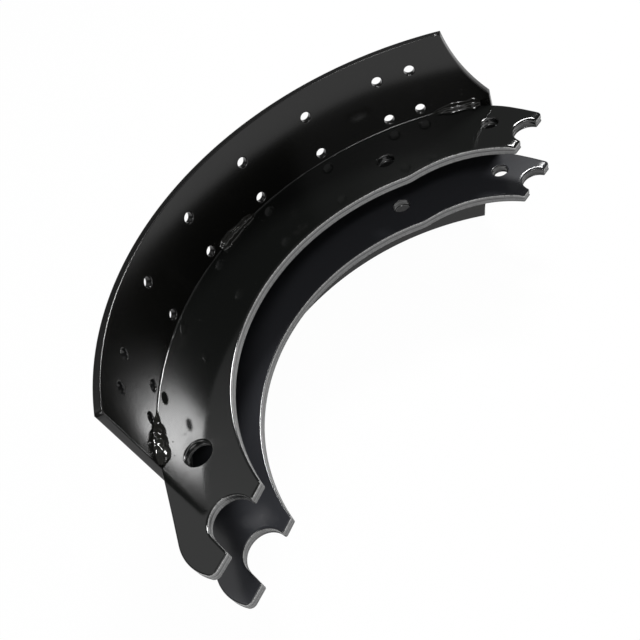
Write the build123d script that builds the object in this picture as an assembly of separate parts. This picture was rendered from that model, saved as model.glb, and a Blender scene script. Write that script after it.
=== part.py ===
from build123d import *
import os
from math import acos, atan2, cos, degrees, hypot, radians, sin, sqrt

# Double-web drum brake shoe, unlined. Millimetres.
# Origin: axis of the anchor pin seat, midway between the webs.
# +X runs to the cam end along the brake's centre line, +Y to the crown, +Z along the drum axis.
# Angles round the drum axis are in degrees from the crown, positive towards the cam end.

# ---- driving dimensions ----
# Table: the rolled rim plate that carries the lining
table_radius = 190.5
table_thickness = 4.8
table_width = 163.0
table_anchor_angle = 57.2
table_cam_angle = 62.8

# Scooped corners of the table's cam end
scoop_start_half_width = 31.0
scoop_depth = 23.0
scoop_radius = 105.0

# Rivet holes for the lining: evenly pitched rows round the arc, and one close row at each end
rivet_hole_radius = 3.5
rivet_pitch_angle = 16.4
rivet_end_pitch_angle = 7.0
rivet_inner_line = 31.2
rivet_outer_line = 62.2

# Webs: two blanked plates, welded on edge inside the table
web_thickness = 6.4
web_gap = 35.8

# Anchor end of the webs: half-moon seat for the anchor pin, open downwards
anchor_angle = 74.71
anchor_seat_depth = 22.63
anchor_seat_radius = 12.7
anchor_heel_radius = 29.4
anchor_inner_end_angle = -13.0
anchor_lead_in_angle = 7.6
anchor_outer_drop = 10.9
anchor_outer_end_slope = 8.0
anchor_inner_end_slope = 11.0

# Cam end of the webs: half-round seat for the roller's journal, open downwards
cam_angle = 72.81
cam_seat_depth = 33.4
cam_seat_radius = 9.9
cam_outer_wall = 8.4
cam_inner_wall = 7.65
cam_shoulder_radius = 75.0

# Concave edge of the webs: one long arc, and a tighter one that narrows the web near the cam end
web_depth = 52.5
inner_arc_shift = (-7.9, 1.6)
cam_arc_radius = 74.4
cam_arc_drop = 15.1

# Rounded corners of the web outline
blend_radius = 25.0
heel_corner_radius = 4.0
cam_corner_radius = 2.5
prong_corner_radius = 1.2

# Round holes through both webs
roller_clip_hole_shift = (-0.7, 28.6)
roller_clip_hole_radius = 5.6
return_spring_hole_angle = 36.22
return_spring_hole_depth = 31.9
return_spring_hole_radius = 6.2
anchor_spring_hole_angle = -58.07
anchor_spring_hole_depth = 21.6
anchor_spring_hole_radius = 8.0
anchor_spring_hole_chamfer = 0.7

# Weld beads in the corner between each web's outer face and the table
bead_leg = 5.6
bead_sink = 2.6
cam_weld_angles = (52.1, 58.9)
crown_weld_angles = (-4.0, 3.2)
anchor_weld_angles = (-55.6, -47.2)


def polar(centre, radius, angle):
    """Point at an angle from +Y towards +X on a circle about a centre."""
    return (centre[0] + radius * sin(radians(angle)), centre[1] + radius * cos(radians(angle)))


def on_circle(centre, radius, angle):
    """Point at an angle counted anticlockwise from +X on a circle about a centre."""
    return (centre[0] + radius * cos(radians(angle)), centre[1] + radius * sin(radians(angle)))


def bearing(start, end):
    """Angle of the line between two points, from +Y towards +X."""
    return degrees(atan2(end[0] - start[0], end[1] - start[1]))


def arc(centre, radius, start, middle, end):
    """Arc about a centre through three bearings."""
    return ThreePointArc(*[polar(centre, radius, angle) for angle in (start, middle, end)])


def circles_meet(first, first_radius, second, second_radius):
    """Upper meeting point of two circles."""
    span = hypot(second[0] - first[0], second[1] - first[1])
    along = (first_radius**2 - second_radius**2 + span**2) / (2 * span)
    across = sqrt(first_radius**2 - along**2)
    ux, uy = (second[0] - first[0]) / span, (second[1] - first[1]) / span
    return (first[0] + along * ux - across * uy, first[1] + along * uy + across * ux)


# ---- derived values ----
table_inner_radius = table_radius - table_thickness
web_outer_face = web_gap / 2 + web_thickness
plate_clear = 10.0
anchor_seat = (0, 0)
drum_axis = polar(anchor_seat, table_inner_radius - anchor_seat_depth, 180 - anchor_angle)
cam_seat = polar(drum_axis, table_inner_radius - cam_seat_depth, cam_angle)
roller_clip_hole = (cam_seat[0] + roller_clip_hole_shift[0], cam_seat[1] + roller_clip_hole_shift[1])
return_spring_hole = polar(
    drum_axis, table_inner_radius - return_spring_hole_depth, return_spring_hole_angle
)
anchor_spring_hole = polar(
    drum_axis, table_inner_radius - anchor_spring_hole_depth, anchor_spring_hole_angle
)


# ---- table ----
def make_table():
    with BuildPart() as table:
        with BuildSketch():
            outer = [polar(drum_axis, table_radius, a) for a in (-table_anchor_angle, 0, table_cam_angle)]
            back = (table_cam_angle, 0, -table_anchor_angle)
            inner = [polar(drum_axis, table_inner_radius, a) for a in back]
            with BuildLine():
                ThreePointArc(*outer)
                Line(outer[-1], inner[0])
                ThreePointArc(*inner)
                Line(inner[-1], outer[0])
            make_face()
        extrude(amount=table_width / 2, both=True)
        cut_scoops()
        cut_rivet_holes()
    return table.part


def cut_scoops():
    """Both cam end corners, cut square to the table with a hollow arc."""
    start = (0, scoop_start_half_width)
    end = (-scoop_depth, table_width / 2)
    edge = table_width / 2 + plate_clear
    end_plane = Plane(
        origin=(*drum_axis, 0),
        x_dir=(cos(radians(table_cam_angle)), -sin(radians(table_cam_angle)), 0),
        z_dir=(sin(radians(table_cam_angle)), cos(radians(table_cam_angle)), 0),
    )
    # the plane's own y axis runs along -Z; the pair of cuts is alike on both sides
    with BuildSketch(end_plane) as corners:
        with BuildLine() as outline:
            RadiusArc(start, end, scoop_radius)
            Polyline(end, (end[0], edge), (plate_clear, edge), (plate_clear, start[1]), start)
        make_face()
        mirror(about=Plane.XZ)
    extrude(corners.sketch, amount=table_radius + plate_clear, mode=Mode.SUBTRACT)


def rivet_angles():
    """Bearing of every rivet row, from the anchor end to the cam end."""
    half = [rivet_pitch_angle / 2, rivet_pitch_angle * 1.5, rivet_pitch_angle * 2.5]
    half.append(half[-1] + rivet_end_pitch_angle)
    return [-angle for angle in reversed(half)] + half


def cut_rivet_holes():
    for angle in rivet_angles():
        outward = (sin(radians(angle)), cos(radians(angle)), 0)
        for line in (-rivet_outer_line, -rivet_inner_line, rivet_inner_line, rivet_outer_line):
            middle = polar(drum_axis, table_radius - table_thickness / 2, angle)
            hole_plane = Plane(origin=(*middle, line), x_dir=(0, 0, 1), z_dir=outward)
            with Locations(hole_plane):
                Cylinder(rivet_hole_radius, table_thickness * 3, mode=Mode.SUBTRACT)


# ---- webs ----
def web_outline():
    """Closed outline of one web, clockwise from where its heel leaves the table."""
    # outer side: heel arc, tangent to the table, table arc, shoulder arc, straight outer wall
    reach = table_inner_radius - anchor_seat_depth
    tangent = degrees(acos((table_inner_radius - anchor_heel_radius) / reach)) - anchor_angle
    table_start = polar(drum_axis, table_inner_radius, tangent)
    heel_top = polar(anchor_seat, anchor_heel_radius, tangent)
    shoulder_x = cam_seat[0] + cam_seat_radius + cam_outer_wall
    offset = shoulder_x - cam_shoulder_radius - drum_axis[0]
    rise = sqrt((table_inner_radius - cam_shoulder_radius)**2 - offset**2)
    shoulder = (drum_axis[0] + offset, drum_axis[1] + rise)
    shoulder_angle = bearing(drum_axis, shoulder)
    Line(heel_top, table_start)
    arc(drum_axis, table_inner_radius, tangent, 0, shoulder_angle)
    arc(shoulder, cam_shoulder_radius, shoulder_angle, (shoulder_angle + 90) / 2, 90)

    # cam end: two prongs cut off at the height of the seat's axis
    cam_corner = (shoulder_x, cam_seat[1])
    inner_tip = (cam_seat[0] - cam_seat_radius - cam_inner_wall, cam_seat[1])
    Polyline((shoulder_x, shoulder[1]), cam_corner, polar(cam_seat, cam_seat_radius, 90))
    arc(cam_seat, cam_seat_radius, 90, 0, -90)
    Line(polar(cam_seat, cam_seat_radius, -90), inner_tip)

    # concave side: cam arc, then the long arc to the anchor end
    cam_arc_back = sqrt(cam_arc_radius**2 - cam_arc_drop**2)
    cam_arc = (inner_tip[0] - cam_arc_back, inner_tip[1] - cam_arc_drop)
    inner_arc = (drum_axis[0] + inner_arc_shift[0], drum_axis[1] + inner_arc_shift[1])
    inner_arc_radius = table_inner_radius - web_depth
    meet = circles_meet(inner_arc, inner_arc_radius, cam_arc, cam_arc_radius)
    seat_end = on_circle(anchor_seat, anchor_seat_radius, anchor_inner_end_angle)
    slope = radians(anchor_inner_end_slope)
    toe = meet_line_and_circle(seat_end, (cos(slope), sin(slope)), inner_arc, inner_arc_radius)
    tip_angle, meet_angle = bearing(cam_arc, inner_tip), bearing(cam_arc, meet)
    arc(cam_arc, cam_arc_radius, tip_angle, (tip_angle + meet_angle) / 2, meet_angle)
    meet_angle, toe_angle = bearing(inner_arc, meet), bearing(inner_arc, toe)
    arc(inner_arc, inner_arc_radius, meet_angle, (meet_angle + toe_angle) / 2, toe_angle)

    # anchor end: short inner prong, half-moon seat, straight lead-in, long outer prong
    seat_start_angle = 180 - anchor_lead_in_angle
    seat_start = on_circle(anchor_seat, anchor_seat_radius, seat_start_angle)
    fall = seat_start[1] + anchor_outer_drop
    lead_end = (seat_start[0] - fall * sin(radians(anchor_lead_in_angle)), -anchor_outer_drop)
    slope = radians(anchor_outer_end_slope)
    heel_tip = meet_line_and_circle(lead_end, (-cos(slope), -sin(slope)), anchor_seat, anchor_heel_radius)
    Line(toe, seat_end)
    middle_angle = (anchor_inner_end_angle + seat_start_angle) / 2
    ThreePointArc(seat_end, on_circle(anchor_seat, anchor_seat_radius, middle_angle), seat_start)
    Polyline(seat_start, lead_end, heel_tip)
    tip_angle = bearing(anchor_seat, heel_tip)
    arc(anchor_seat, anchor_heel_radius, tip_angle, (tip_angle + tangent) / 2, tangent)
    return {
        "blend": meet,
        "heel": heel_tip,
        "cam": cam_corner,
        "prongs": [toe, seat_end, lead_end, inner_tip],
    }


def meet_line_and_circle(start, direction, centre, radius):
    """First point where a line from a start point crosses a circle."""
    dx, dy = start[0] - centre[0], start[1] - centre[1]
    along = dx * direction[0] + dy * direction[1]
    root = sqrt(along**2 - dx**2 - dy**2 + radius**2)
    steps = [step for step in (-along - root, -along + root) if step > 0]
    return (start[0] + min(steps) * direction[0], start[1] + min(steps) * direction[1])


def make_web():
    """The web on the +Z side."""
    with BuildPart() as web:
        with BuildSketch(Plane.XY.offset(web_gap / 2)) as sketch:
            with BuildLine():
                corners = web_outline()
            make_face()
            round_corners(sketch, [corners["blend"]], blend_radius)
            round_corners(sketch, [corners["heel"]], heel_corner_radius)
            round_corners(sketch, [corners["cam"]], cam_corner_radius)
            round_corners(sketch, corners["prongs"], prong_corner_radius)
            for place, radius in (
                (roller_clip_hole, roller_clip_hole_radius),
                (return_spring_hole, return_spring_hole_radius),
                (anchor_spring_hole, anchor_spring_hole_radius),
            ):
                with Locations(place):
                    Circle(radius, mode=Mode.SUBTRACT)
        extrude(amount=web_thickness)
        rims = web.edges().filter_by(GeomType.CIRCLE)
        rims = [rim for rim in rims if near(rim.arc_center, anchor_spring_hole)]
        chamfer(rims, anchor_spring_hole_chamfer)
    return web.part


def near(vector, point):
    """Whether a vector's X and Y lie on a point."""
    return hypot(vector.X - point[0], vector.Y - point[1]) < 1e-3


def round_corners(sketch, points, radius):
    """Fillet the sketch's corners that lie on the given points."""
    corners = [v for v in sketch.vertices() if any(near(v, point) for point in points)]
    fillet(corners, radius)


# ---- weld beads ----
def make_bead(start_angle, end_angle):
    """Convex fillet bead, rounded in plan at both ends, on the +Z web's outer face."""
    middle_angle = (start_angle + end_angle) / 2
    bead_radius = hypot(bead_sink, bead_leg + bead_sink)
    sagitta = table_inner_radius * (1 - cos(radians(end_angle - middle_angle)))
    core = polar(drum_axis, table_inner_radius - sagitta / 2 + bead_sink, middle_angle)
    along = (cos(radians(middle_angle)), -sin(radians(middle_angle)), 0)
    with BuildSketch(Plane.XY.offset(web_outer_face)) as plan:
        with BuildLine(mode=Mode.PRIVATE) as path:
            arc(drum_axis, table_inner_radius, start_angle, middle_angle, end_angle)
        SlotArc(path.wires()[0], bead_leg * 2)
        with Locations(drum_axis):
            Circle(table_inner_radius, mode=Mode.INTERSECT)
    length = radians(end_angle - start_angle) * table_inner_radius + bead_leg * 4
    rod_plane = Plane(origin=(*core, web_outer_face - bead_sink), z_dir=along)
    return extrude(plan.sketch, amount=bead_radius) & rod_plane * Cylinder(bead_radius, length)


def main():
    web = make_web()
    pieces = {
        "table": make_table(),
        "outboard_web": web,
        "inboard_web": mirror(web, about=Plane.XY),
    }
    welds = {"cam_weld": cam_weld_angles, "crown_weld": crown_weld_angles, "anchor_weld": anchor_weld_angles}
    for name, angles in welds.items():
        bead = make_bead(*angles)
        pieces["outboard_" + name] = bead
        pieces["inboard_" + name] = mirror(bead, about=Plane.XY)
    os.makedirs("parts", exist_ok=True)
    for name, piece in pieces.items():
        export_step(piece, "parts/" + name + ".step")


main()
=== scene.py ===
import math

import bpy
import numpy as np
from mathutils import Matrix, Vector
from mathutils.geometry import delaunay_2d_cdt


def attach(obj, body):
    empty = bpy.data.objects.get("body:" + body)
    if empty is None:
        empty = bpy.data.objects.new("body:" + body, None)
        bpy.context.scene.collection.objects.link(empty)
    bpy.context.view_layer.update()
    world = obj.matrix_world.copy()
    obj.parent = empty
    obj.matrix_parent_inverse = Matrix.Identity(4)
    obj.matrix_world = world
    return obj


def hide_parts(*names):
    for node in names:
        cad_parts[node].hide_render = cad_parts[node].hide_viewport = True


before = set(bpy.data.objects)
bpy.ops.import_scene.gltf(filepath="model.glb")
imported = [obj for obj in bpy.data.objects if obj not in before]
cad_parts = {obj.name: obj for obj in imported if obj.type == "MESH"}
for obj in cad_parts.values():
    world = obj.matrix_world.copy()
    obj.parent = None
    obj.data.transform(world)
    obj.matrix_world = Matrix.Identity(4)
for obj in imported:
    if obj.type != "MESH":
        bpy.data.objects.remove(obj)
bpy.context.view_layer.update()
millimetre = 0.001
tiny = 1e-9  # least length that a direction is divided by
newtonSteps = 20  # for the corners of the web's outline
print("frame loaded:", len(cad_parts), "nodes")


# one closed mesh from points in millimetres, arrays of faces, and normals; cutPlace says of each point how far
# along a cut edge it is, how far below the start of the tear, or on the table above the inner face, and 1 on
# the cut
def makeMesh(name, points, faceArrays, normals, material, cutPlace=None):
    mesh = bpy.data.meshes.new(name)
    faces = [face for array in faceArrays for face in array.tolist()]
    mesh.from_pydata((points * millimetre).tolist(), [], faces)
    mesh.polygons.foreach_set("use_smooth", np.ones(len(mesh.polygons), bool))
    if cutPlace is not None:
        places = (cutPlace * (millimetre, millimetre, 1)).astype(np.float32)
        mesh.attributes.new("cutPlace", "FLOAT_VECTOR", "POINT").data.foreach_set("vector", places.ravel())
    lengths = np.linalg.norm(normals, axis=1, keepdims=True)
    mesh.normals_split_custom_set_from_vertices((normals / np.maximum(lengths, tiny)).tolist())
    mesh.materials.append(material)
    shape = bpy.data.objects.new(name, mesh)
    bpy.context.scene.collection.objects.link(shape)
    return shape


# place on a circle: a turn from +Y towards +X, in radians, its sine across and its cosine up
def polar(centre, radius, turn):
    return centre[0] + radius * np.sin(turn), centre[1] + radius * np.cos(turn)


# 0 below zero, 1 beyond the given reach, and a straight rise between
def ramp(value, reach):
    return np.clip(value / reach, 0, 1)


# smooth noise along a length, about -1 to 1: the mean of one sine for each wavelength, each at a random phase
def wander(along, seed, wavelengths):
    phases = np.random.default_rng(seed).uniform(0, 2 * math.pi, len(wavelengths))
    waves = [np.sin(2 * math.pi * along / length + phase) for length, phase in zip(wavelengths, phases)]
    return sum(waves) / len(waves)


# faces of a grid whose columns close into a ring: two neighbours in a row with the two below them
def ringFaces(rows, columns, flip=False):
    row, column = np.meshgrid(np.arange(rows - 1), np.arange(columns), indexing="ij")
    above, below, across = row * columns, (row + 1) * columns, (column + 1) % columns
    quads = np.stack([above + column, above + across, below + across, below + column], -1).reshape(-1, 4)
    return quads[:, ::-1] if flip else quads


# rings joined for one mesh, each a grid of points, normals and places: those three, the faces between their
# rows, and the number at which each ring starts
def joinRings(rings):
    points, normals, places = ([ring[k].reshape(-1, 3) for ring in rings] for k in range(3))
    starts = np.cumsum([0] + [len(part) for part in points])
    faces = [ringFaces(*ring[0].shape[:2], flip=True) + start for ring, start in zip(rings, starts)]
    return points, normals, places, faces, starts


# triangles that fill a flat outline with holes: a Delaunay net over all points, less the triangles whose
# corners are all on one hole; the loops are one row of each ring, and loose points count on from first
def fillOutline(loops, loosePoints, row, starts, first):
    numbers = [start + row * len(loop) + np.arange(len(loop)) for loop, start in zip(loops, starts)]
    numbers = np.concatenate(numbers + [first + np.arange(len(loosePoints))])
    flat = np.concatenate(loops + [loosePoints])
    loopOf = [np.full(len(loop), k) for k, loop in enumerate(loops)]
    hole = np.concatenate(loopOf + [np.zeros(len(loosePoints))])
    edges, count = [], 0
    for loop in loops:
        around = count + np.arange(len(loop))
        edges.append(np.stack([around, np.roll(around, -1)], 1))
        count += len(loop)
    inside, sameWithin = 1, 1e-6
    corners = [Vector(point) for point in flat.tolist()]
    filled = delaunay_2d_cdt(corners, np.concatenate(edges).tolist(), [], inside, sameWithin)
    source = np.array([origin[0] for origin in filled[3]])
    triangles = source[np.array(filled[2])]
    onHoles = hole[triangles]
    triangles = triangles[(onHoles[:, 0] == 0) | (onHoles != onHoles[:, :1]).any(1)]
    a, b, c = (flat[triangles[:, k]] for k in range(3))
    turn = (b[:, 0] - a[:, 0]) * (c[:, 1] - a[:, 1]) - (b[:, 1] - a[:, 1]) * (c[:, 0] - a[:, 0])
    triangles[turn < 0] = triangles[turn < 0][:, ::-1]
    return numbers[triangles]


# points and outward normals along arcs (centre, radius, from, to) and straight runs (from, to), metal on the
# left, in steps no longer than step and, on arcs, of no more than turnStep degrees
def walkOutline(rows, step, turnStep):
    points, normals = [], []
    for row in rows:
        if len(row) == 5:
            x, y, radius, first, last = row
            sweep = abs(last - first)
            count = max(2, math.ceil(sweep / turnStep), math.ceil(math.radians(sweep) * radius / step))
            angle = np.radians(np.linspace(first, last, count + 1))[:-1]
            outward = np.stack([np.cos(angle), np.sin(angle)], 1)
            points.append(np.array([x, y]) + radius * outward)
            normals.append(outward * np.sign(last - first))
        else:
            start, end = np.array(row[:2]), np.array(row[2:])
            length = np.hypot(*(end - start))
            count = max(1, math.ceil(length / step))
            run = (end - start) / length
            points.append(start + (end - start) * np.linspace(0, 1, count + 1)[:-1, None])
            normals.append(np.repeat([[run[1], -run[0]]], count, 0))
    return np.concatenate(points), np.concatenate(normals)


# points and normals clockwise round a circle; the normals point into the hole, away from the metal
def walkHole(centre, radius, count):
    angle = np.linspace(0, -2 * math.pi, count, endpoint=False)
    outward = np.stack([np.cos(angle), np.sin(angle)], 1)
    return np.array(centre) + radius * outward, -outward


# length walked to each point of a line: the sum of the steps before it
def walked(points):
    steps = np.linalg.norm(np.diff(points, axis=0), axis=1)
    return np.concatenate([[0], np.cumsum(steps)])


# unit normals of a grid: the mean of the unit steps before and after each row, crossed with the step from the
# column before to the column after; closed says that the columns form a ring
def gridNormals(grid, closed=True):
    down = np.diff(grid, axis=0)
    down /= np.maximum(np.linalg.norm(down, axis=2, keepdims=True), tiny)
    down = np.concatenate([down[:1], (down[1:] + down[:-1]) / 2, down[-1:]])
    ahead = np.roll(grid, -1, 1) - np.roll(grid, 1, 1) if closed else np.gradient(grid, axis=1)
    normals = np.cross(down, ahead)
    return normals / np.maximum(np.linalg.norm(normals, axis=2, keepdims=True), tiny)


# normals of a filler in a corner: the last column closes it behind, and points away from the sum of the first
# and the last of those that are seen
def fillerNormals(grid):
    seen = gridNormals(grid[:, :-1], closed=False)
    return np.concatenate([seen, -seen[:, :1] - seen[:, -1:]], 1)


webCoat = {
    "colour": (0.0042, 0.0046, 0.0043, 1.0),
    "roughness": 0.085,
    "ior": 1.56,
    "cutColour": (0.172, 0.173, 0.173, 1.0),  # thin film over the sheared edges
    "cutRoughness": 0.40,
    "haze": 1.0,  # share of haze in the smudges
    "dustAndPaintedLight": 0.0,  # share of dust, partly painted light, on what faces up
    "nibs": 1.0,  # height of the nibs, as a share
    "rim": 1.0,  # share of the pale painted highlight along the rim above the tear
}
enamel = {
    "coats": {  # the web's coat, and what is different on the others
        "webEnamel": webCoat,
        # the inboard web's dust is also painted light: a lighter copy of the web's film that stands in for
        # light
        "innerWebEnamel": {**webCoat, "roughness": 0.19, "dustAndPaintedLight": 0.9},
        "tableEnamel": {
            **webCoat, "colour": (0.0028, 0.0028, 0.0024, 1.0), "roughness": 0.17, "ior": 1.46,
            "cutColour": (0.003, 0.003, 0.003, 1.0), "cutRoughness": 0.20, "haze": 0.5, "rim": 0.0,
        },
        "beadEnamel": {
            **webCoat, "colour": (0.0085, 0.0085, 0.0074, 1.0), "roughness": 0.11, "nibs": 0.0, "rim": 0.0,
        },
    },
    "worn": (0.012, 0.012, 0.0115, 1.0),  # film that is hazed
    "wornRoughness": 0.24,
    # dust where faces look up; on the inboard web it is also painted light, standing in for light that it
    # lacks
    "dustAndPaintedLight": (0.027, 0.028, 0.032, 1.0),
    "dustAndLightFacing": (0.5, 1.0),  # how far up a face looks where the dust and painted light start, and where they are full
    "smudges": {"Scale": 21.0, "Detail": 6.0, "Roughness": 0.62, "Distortion": 0.5},
    "smudgeLevels": (0.56, 0.80),
    "peel": {"Scale": 330.0, "Detail": 2.0, "Roughness": 0.45},  # orange peel
    "peelHeight": 0.0000035,
    "waves": {"Scale": 24.0, "Detail": 1.0},  # slow unevenness of the plate under the film
    "waveHeight": 0.00008,
    "nibs": {"Scale": 85.0, "Randomness": 1.0},  # specks caught in the film
    "nibHeight": 0.00016,
    "nibSize": 0.05,
    "nibLimit": 0.86,  # share of the specks that is left out
    "shear": {"Scale": 1.0, "Detail": 3.0, "Roughness": 0.6},  # lines that run down a cut edge
    "shearStretch": (1400.0, 110.0, 0.0),  # their noise, per metre along, down and through the edge
    "shearHeight": 0.00003,
    "shearFull": 0.55,  # level of that noise at which the film is thinnest
    "paintedTearShade": (0.012, 0.012, 0.012, 1.0),  # painted shade: a dark line where the tear starts
    "tearBand": (0.0002, 0.0007),  # half the width of its core and of the whole line
    "tearShare": 0.95,
    "rimShade": (0.55, 0.55, 0.54, 1.0),  # painted highlight: a pale line along the upper corner of a cut edge
    "rimHeight": 0.0023,  # that corner above the start of the tear
    "rimBand": (0.0002, 0.0006),
    "rimLevels": (0.38, 0.58),  # the shear noise breaks the painted highlight up between these levels
    "rimLeast": 0.25,
}


# one shader node; sockets among its inputs are linked, and other values are set on its own sockets
def addNode(tree, kind, inputs=None, **settings):
    node = tree.nodes.new(kind)
    for name, value in settings.items():
        setattr(node, name, value)
    for name, value in (inputs or {}).items():
        joinOrSet(tree, node.inputs[name], value)
    return node


# link a socket to another, or give it a fixed value
def joinOrSet(tree, socket, value):
    if isinstance(value, bpy.types.NodeSocket):
        tree.links.new(value, socket)
    else:
        socket.default_value = value


# a shader node tree of its own, emptied
def emptyTree(owner):
    owner.use_nodes = True
    owner.node_tree.nodes.clear()
    return owner.node_tree


# one sum: the named operation on one or two values
def calculate(tree, operation, *values):
    return addNode(tree, "ShaderNodeMath", dict(enumerate(values)), operation=operation).outputs[0]


# a value moved from low..high to toLow..toHigh, easing in and out, and held beyond both ends
def mapTo(tree, value, low, high, toLow, toHigh):
    inputs = {"Value": value, "From Min": low, "From Max": high, "To Min": toLow, "To Max": toHigh}
    return addNode(tree, "ShaderNodeMapRange", inputs, interpolation_type="SMOOTHSTEP").outputs["Result"]


# a colour between two others, by a share from 0 to 1
def mixColour(tree, share, first, second):
    node = addNode(tree, "ShaderNodeMix", {"Factor": share}, data_type="RGBA")
    joinOrSet(tree, node.inputs[6], first)
    joinOrSet(tree, node.inputs[7], second)
    return node.outputs[2]


# noise over a place, with its settings from the dictionary
def addNoise(tree, place, settings):
    return addNode(tree, "ShaderNodeTexNoise", {"Vector": place, **settings}).outputs["Fac"]


# relief of the given height in metres, on top of an earlier one
def addRelief(tree, height, pattern, below=None):
    inputs = {"Strength": 1.0, "Distance": height, "Height": pattern}
    if below is not None:
        inputs["Normal"] = below
    return addNode(tree, "ShaderNodeBump", inputs).outputs["Normal"]


# glossy baked enamel: near-black with orange peel, slow waves, sparse nibs and hazy smudges; on cut edges it
# is thinner and duller, with shear lines, a dark line of painted shade where the tear starts and a pale line
# of painted highlight along the rim above it
def makeEnamel(name, coat):
    material = bpy.data.materials.new(name)
    tree = emptyTree(material)
    place = addNode(tree, "ShaderNodeTexCoord").outputs["Object"]
    cutPlace = addNode(tree, "ShaderNodeAttribute", attribute_name="cutPlace").outputs["Vector"]
    placeParts = addNode(tree, "ShaderNodeSeparateXYZ", {"Vector": cutPlace})
    belowTear, cut = placeParts.outputs["Y"], placeParts.outputs["Z"]

    # the film: hazed in smudges, and dusty where it faces up, which on the inboard web is also painted light
    hazed = mapTo(tree, addNoise(tree, place, enamel["smudges"]), *enamel["smudgeLevels"], 0.0, coat["haze"])
    filmRoughness = mapTo(tree, hazed, 0.0, 1.0, coat["roughness"], enamel["wornRoughness"])
    filmColour = mixColour(tree, hazed, coat["colour"], enamel["worn"])
    facing = addNode(tree, "ShaderNodeNewGeometry").outputs["Normal"]
    facingUp = addNode(tree, "ShaderNodeSeparateXYZ", {"Vector": facing}).outputs["Z"]
    dustAndLightShare = mapTo(tree, facingUp, *enamel["dustAndLightFacing"], 0.0, coat["dustAndPaintedLight"])
    faceColour = mixColour(tree, dustAndLightShare, filmColour, enamel["dustAndPaintedLight"])

    # the cut: shear lines, painted shade along the line of the tear and a painted highlight on the rim
    stretch = {0: cutPlace, 1: enamel["shearStretch"]}
    stretched = addNode(tree, "ShaderNodeVectorMath", stretch, operation="MULTIPLY").outputs[0]
    shear = addNoise(tree, stretched, enamel["shear"])
    cutShear = calculate(tree, "MULTIPLY", shear, cut)
    thin = mapTo(tree, cutShear, 0.0, enamel["shearFull"], 0.0, 1.0)
    cutShade = mixColour(tree, thin, faceColour, coat["cutColour"])
    fromTear = calculate(tree, "ABSOLUTE", belowTear)
    # painted shade: a dark line along the start of the tear, on the cut only
    paintedTearLine = mapTo(tree, fromTear, *enamel["tearBand"], enamel["tearShare"], 0.0)
    withPaintedTearShade = mixColour(tree, calculate(tree, "MULTIPLY", paintedTearLine, cut), cutShade, enamel["paintedTearShade"])
    # painted highlight: a pale line along the upper corner of the cut, broken up by the shear noise
    fromRim = calculate(tree, "ABSOLUTE", calculate(tree, "ADD", belowTear, enamel["rimHeight"]))
    rimLine = calculate(tree, "MULTIPLY", mapTo(tree, fromRim, *enamel["rimBand"], coat["rim"], 0.0), cut)
    broken = mapTo(tree, shear, *enamel["rimLevels"], enamel["rimLeast"], 1.0)
    shade = mixColour(tree, calculate(tree, "MULTIPLY", rimLine, broken), withPaintedTearShade, enamel["rimShade"])
    roughnesses = {"Value": cut, "To Min": filmRoughness, "To Max": coat["cutRoughness"]}
    roughness = addNode(tree, "ShaderNodeMapRange", roughnesses).outputs["Result"]

    # the relief, from slow to fine
    nib = addNode(tree, "ShaderNodeTexVoronoi", {"Vector": place, **enamel["nibs"]})
    nibHump = mapTo(tree, nib.outputs["Distance"], 0.0, enamel["nibSize"], 1.0, 0.0)
    nibPick = addNode(tree, "ShaderNodeSeparateColor", {"Color": nib.outputs["Color"]}).outputs["Red"]
    nibs = calculate(tree, "MULTIPLY", nibHump, calculate(tree, "GREATER_THAN", nibPick, enamel["nibLimit"]))
    relief = addRelief(tree, enamel["waveHeight"], addNoise(tree, place, enamel["waves"]))
    relief = addRelief(tree, enamel["peelHeight"], addNoise(tree, place, enamel["peel"]), relief)
    relief = addRelief(tree, enamel["shearHeight"], cutShear, relief)
    relief = addRelief(tree, enamel["nibHeight"] * coat["nibs"], nibs, relief)
    inputs = {"Base Color": shade, "Roughness": roughness, "IOR": coat["ior"], "Normal": relief}
    film = addNode(tree, "ShaderNodeBsdfPrincipled", inputs)
    addNode(tree, "ShaderNodeOutputMaterial", {"Surface": film.outputs["BSDF"]})
    return material


coats = {name: makeEnamel(name, coat) for name, coat in enamel["coats"].items()}
print("enamel mixed")


table = {
    "axis": (157.298, -43.002),
    "innerRadius": 185.7,
    "outerRadius": 190.5,
    "halfWidth": 81.5,
    "anchorEnd": -57.2,  # degrees round the axis, from +Y towards +X
    "camEnd": 62.8,
    "scoopStart": 31.0,  # the cam end's corners are scooped out from this height to the edge
    "scoopDepth": 23.0,
    "scoopRadius": 105.0,
    "edgeRound": 0.7,
    "holeRadius": 3.5,
    "holeRound": 0.8,
    "holeAngles": [-48.0, -41.0, -24.6, -8.2, 8.2, 24.6, 41.0, 48.0],
    "holeLines": [-62.2, -31.2, 31.2, 62.2],
    "scoopStep": 2.5,  # steps along the outline: scoops, cam end, long sides and anchor end
    "endStep": 4.0,
    "turnStep": 4.0,
    "sideCount": 99,
    "endCount": 39,
    "holeCount": 32,  # points round a hole
    "roundCount": 4,  # steps round a corner of the section
    "cutRows": 3,  # rows of the section from a face to the bare cut
    "looseRun": 4.5,  # loose points on the faces: their spacing, and their distance from holes and edges
    "looseRise": 7.0,
    "looseFromHole": 5.2,
    "looseFromEdge": 3.0,
    "looseFromEnd": 28.0,  # and none this near the cam end beyond the scoops' start, less a margin
    "looseFromScoop": 2.0,
}


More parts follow.
